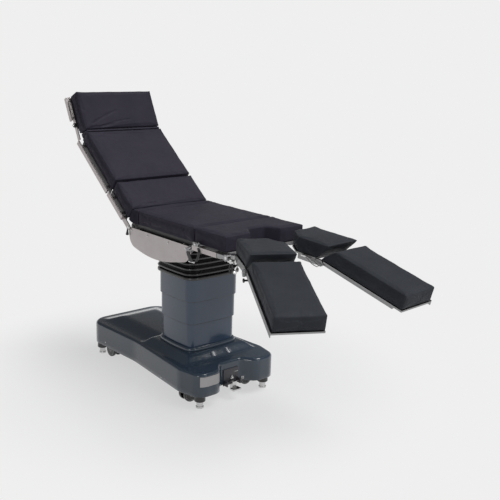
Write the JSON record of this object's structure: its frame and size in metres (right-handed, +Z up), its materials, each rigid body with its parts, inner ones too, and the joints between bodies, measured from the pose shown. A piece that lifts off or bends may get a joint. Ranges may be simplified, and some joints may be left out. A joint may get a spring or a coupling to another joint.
{
  "type": "operating table",
  "caption": "Operating table on a telescopic lift column and lobed base, with jointed back, head and seat sections, a cut-out pelvic section and split, splayed leg sections.",
  "frame": {"origin": "on the floor, under the middle of the base, on the table's centre line", "axes": "+X from the head end to the leg end, +Y to the far side, +Z up"},
  "size_m": [2.3252, 0.9026, 1.5625],
  "materials": {
    "pad_cover": "matt, slightly grained, very dark",
    "leg_pad_cover": "matt, slightly grained, very dark grey",
    "cover_paint": "glossy dark blue-grey",
    "cover_shell": "glossy dark blue-grey moulding",
    "satin_steel": "satin stainless steel",
    "frame_steel": "dark powder coat",
    "light_alloy": "satin",
    "bright_steel": "polished",
    "black_plastic": "matt black",
    "black_rubber": "soft black",
    "grey_plastic": "satin light grey",
    "panel_plastic": "satin dark grey",
    "label_foil": "satin foil, blank"
  },
  "bodies": {
    "base": {"base_frame": "frame_steel", "base_cover": "cover_shell", "column_collar": "cover_shell", "label_plate": "label_foil", "foot_sleeves": "black_plastic", "rear_castor_bodies": "frame_steel", "power_unit": "panel_plastic", "pedal_bracket": "panel_plastic", "lower_cover": "cover_paint", "lift_tube_fixed": "frame_steel", "lift_cylinder": "frame_steel"},
    "feet": {"foot_tips": "bright_steel"},
    "brake_pedal": {"brake_pedal": "bright_steel"},
    "lock_handle": {"lock_handle": "bright_steel"},
    "castor_near": {"castor_body_near": "frame_steel"},
    "castor_far": {"castor_body_far": "frame_steel"},
    "wheel_front_near": {"castor_wheel_front_near": "grey_plastic"},
    "wheel_front_far": {"castor_wheel_front_far": "grey_plastic"},
    "wheel_rear_near": {"castor_wheel_rear_near": "grey_plastic"},
    "wheel_rear_far": {"castor_wheel_rear_far": "grey_plastic"},
    "column_middle": {"middle_cover": "cover_paint", "lift_tube_middle": "frame_steel"},
    "column_top": {"upper_cover": "cover_paint", "lift_tube_upper": "frame_steel", "lift_rod": "bright_steel", "column_head": "light_alloy", "bellows": "black_rubber"},
    "tilt_block": {"tilt_block": "bright_steel"},
    "seat": {"seat_frame": "light_alloy", "side_plates": "satin_steel", "seat_pad": "pad_cover", "fold_bridge": "pad_cover", "pelvic_pad": "pad_cover", "pelvic_frame": "light_alloy", "pelvic_rails": "satin_steel"},
    "release_shaft": {"release_shaft": "bright_steel"},
    "lower_back": {"lower_back_frame": "light_alloy", "lower_back_rails": "satin_steel", "lower_back_pad": "pad_cover"},
    "upper_back": {"upper_back_frame": "light_alloy", "upper_back_rails": "satin_steel", "upper_back_pad": "pad_cover"},
    "head": {"head_frame": "light_alloy", "head_bars": "satin_steel", "head_pad": "pad_cover"},
    "head_lock": {"head_lock": "black_plastic"},
    "hip_near": {"hip_block_near": "bright_steel"},
    "hip_lever_near": {"hip_lever_near": "bright_steel"},
    "thigh_near": {"thigh_frame_near": "light_alloy", "thigh_pad_near": "leg_pad_cover"},
    "calf_near": {"calf_frame_near": "light_alloy", "calf_pad_near": "leg_pad_cover"},
    "knee_knob_near": {"knee_knob_near": "black_plastic"},
    "hip_far": {"hip_block_far": "bright_steel"},
    "hip_lever_far": {"hip_lever_far": "bright_steel"},
    "thigh_far": {"thigh_frame_far": "light_alloy", "thigh_pad_far": "leg_pad_cover"},
    "calf_far": {"calf_frame_far": "light_alloy", "calf_pad_far": "leg_pad_cover"},
    "knee_knob_far": {"knee_knob_far": "black_plastic"}
  },
  "joints": [
    {"name": "feet_retract", "type": "slide", "parent": "base", "child": "feet", "axis": [0, 0, 1], "range_m": [0, 0.01]},
    {"name": "brake_pedal_turn", "type": "hinge", "parent": "base", "child": "brake_pedal", "pos_m": [0.486, 0, 0.087], "axis": [0, 1, 0], "range_deg": [0, 18]},
    {"name": "lock_handle_turn", "type": "hinge", "parent": "base", "child": "lock_handle", "pos_m": [0.47, 0.004, 0.109], "axis": [1, 0, 0], "continuous": true},
    {"name": "castor_swivel_near", "type": "hinge", "parent": "base", "child": "castor_near", "pos_m": [0.374, -0.19, 0.1], "axis": [0, 0, 1], "continuous": true},
    {"name": "wheel_roll_front_near", "type": "hinge", "parent": "castor_near", "child": "wheel_front_near", "pos_m": [0.374, -0.215, 0.046], "axis": [1, 0, 0], "continuous": true},
    {"name": "wheel_roll_rear_near", "type": "hinge", "parent": "base", "child": "wheel_rear_near", "pos_m": [-0.409, -0.19, 0.046], "axis": [0, 1, 0], "continuous": true},
    {"name": "castor_swivel_far", "type": "hinge", "parent": "base", "child": "castor_far", "pos_m": [0.374, 0.19, 0.1], "axis": [0, 0, 1], "continuous": true},
    {"name": "wheel_roll_front_far", "type": "hinge", "parent": "castor_far", "child": "wheel_front_far", "pos_m": [0.374, 0.165, 0.046], "axis": [1, 0, 0], "continuous": true},
    {"name": "wheel_roll_rear_far", "type": "hinge", "parent": "base", "child": "wheel_rear_far", "pos_m": [-0.409, 0.19, 0.046], "axis": [0, 1, 0], "continuous": true},
    {"name": "lift_middle", "type": "slide", "parent": "base", "child": "column_middle", "axis": [0, 0, 1], "range_m": [-0.12, 0.03]},
    {"name": "lift", "type": "slide", "parent": "base", "child": "column_top", "axis": [0, 0, 1], "range_m": [-0.24, 0.06]},
    {"name": "trendelenburg", "type": "hinge", "parent": "column_top", "child": "tilt_block", "pos_m": [0.167, 0, 0.785], "axis": [0, -1, 0], "range_deg": [-25, 25], "deforming": ["bellows"]},
    {"name": "lateral_tilt", "type": "hinge", "parent": "tilt_block", "child": "seat", "pos_m": [0.167, 0, 0.785], "axis": [1, 0, 0], "range_deg": [-20, 20], "deforming": ["bellows"]},
    {"name": "release_shaft_turn", "type": "hinge", "parent": "seat", "child": "release_shaft", "pos_m": [0.452, 0, 0.853], "axis": [0, 1, 0], "range_deg": [-35, 35]},
    {"name": "back_hinge", "type": "hinge", "parent": "seat", "child": "lower_back", "pos_m": [-0.118, 0, 0.86], "axis": [0, 1, 0], "range_deg": [-58, 32], "deforming": ["fold_bridge"]},
    {"name": "upper_back_hinge", "type": "hinge", "parent": "lower_back", "child": "upper_back", "pos_m": [-0.31512, 0, 1.02189], "axis": [0, 1, 0], "range_deg": [-20, 4]},
    {"name": "head_hinge", "type": "hinge", "parent": "upper_back", "child": "head", "pos_m": [-0.63506, 0, 1.27185], "axis": [0, 1, 0], "range_deg": [-60, 6]},
    {"name": "head_lock_turn", "type": "hinge", "parent": "head", "child": "head_lock", "pos_m": [-0.69341, 0, 1.3647], "axis": [0, 1, 0], "continuous": true},
    {"name": "hip_pitch_near", "type": "hinge", "parent": "seat", "child": "hip_near", "pos_m": [0.745, -0.256, 0.872], "axis": [0, 1, 0], "range_deg": [-20, 80]},
    {"name": "hip_lever_turn_near", "type": "hinge", "parent": "hip_near", "child": "hip_lever_near", "pos_m": [0.78182, -0.256, 0.86229], "axis": [0, -1, 0], "range_deg": [-45, 30]},
    {"name": "splay_near", "type": "hinge", "parent": "hip_near", "child": "thigh_near", "pos_m": [0.78249, -0.256, 0.89728], "axis": [0.0192, 0, 0.9998], "range_deg": [-35, 28.3]},
    {"name": "knee_near", "type": "hinge", "parent": "thigh_near", "child": "calf_near", "pos_m": [0.99513, -0.37073, 0.8722], "axis": [0.474, 0.8805, -0.0091], "range_deg": [-20, 65]},
    {"name": "knee_knob_turn_near", "type": "hinge", "parent": "calf_near", "child": "knee_knob_near", "pos_m": [0.99513, -0.37073, 0.8722], "axis": [0.474, 0.8805, -0.0091], "continuous": true},
    {"name": "hip_pitch_far", "type": "hinge", "parent": "seat", "child": "hip_far", "pos_m": [0.745, 0.256, 0.872], "axis": [0, 1, 0], "range_deg": [-20, 80]},
    {"name": "hip_lever_turn_far", "type": "hinge", "parent": "hip_far", "child": "hip_lever_far", "pos_m": [0.78136, 0.256, 0.86069], "axis": [0, -1, 0], "range_deg": [-45, 30]},
    {"name": "splay_far", "type": "hinge", "parent": "hip_far", "child": "thigh_far", "pos_m": [0.78356, 0.256, 0.89563], "axis": [0.0628, 0, 0.998], "range_deg": [-2.8, 60]},
    {"name": "knee_far", "type": "hinge", "parent": "thigh_far", "child": "calf_far", "pos_m": [1.02347, 0.26782, 0.85949], "axis": [-0.0488, 0.9988, 0.0031], "range_deg": [-18, 65]},
    {"name": "knee_knob_turn_far", "type": "hinge", "parent": "calf_far", "child": "knee_knob_far", "pos_m": [1.02347, 0.26782, 0.85949], "axis": [-0.0488, 0.9988, 0.0031], "continuous": true}
  ],
  "couplings": [
    {"joint": "lift_middle", "follows": "lift", "ratio": 0.5},
    {"joint": "brake_pedal_turn", "follows": "feet_retract", "rad_per_m": 31.4}
  ]
}
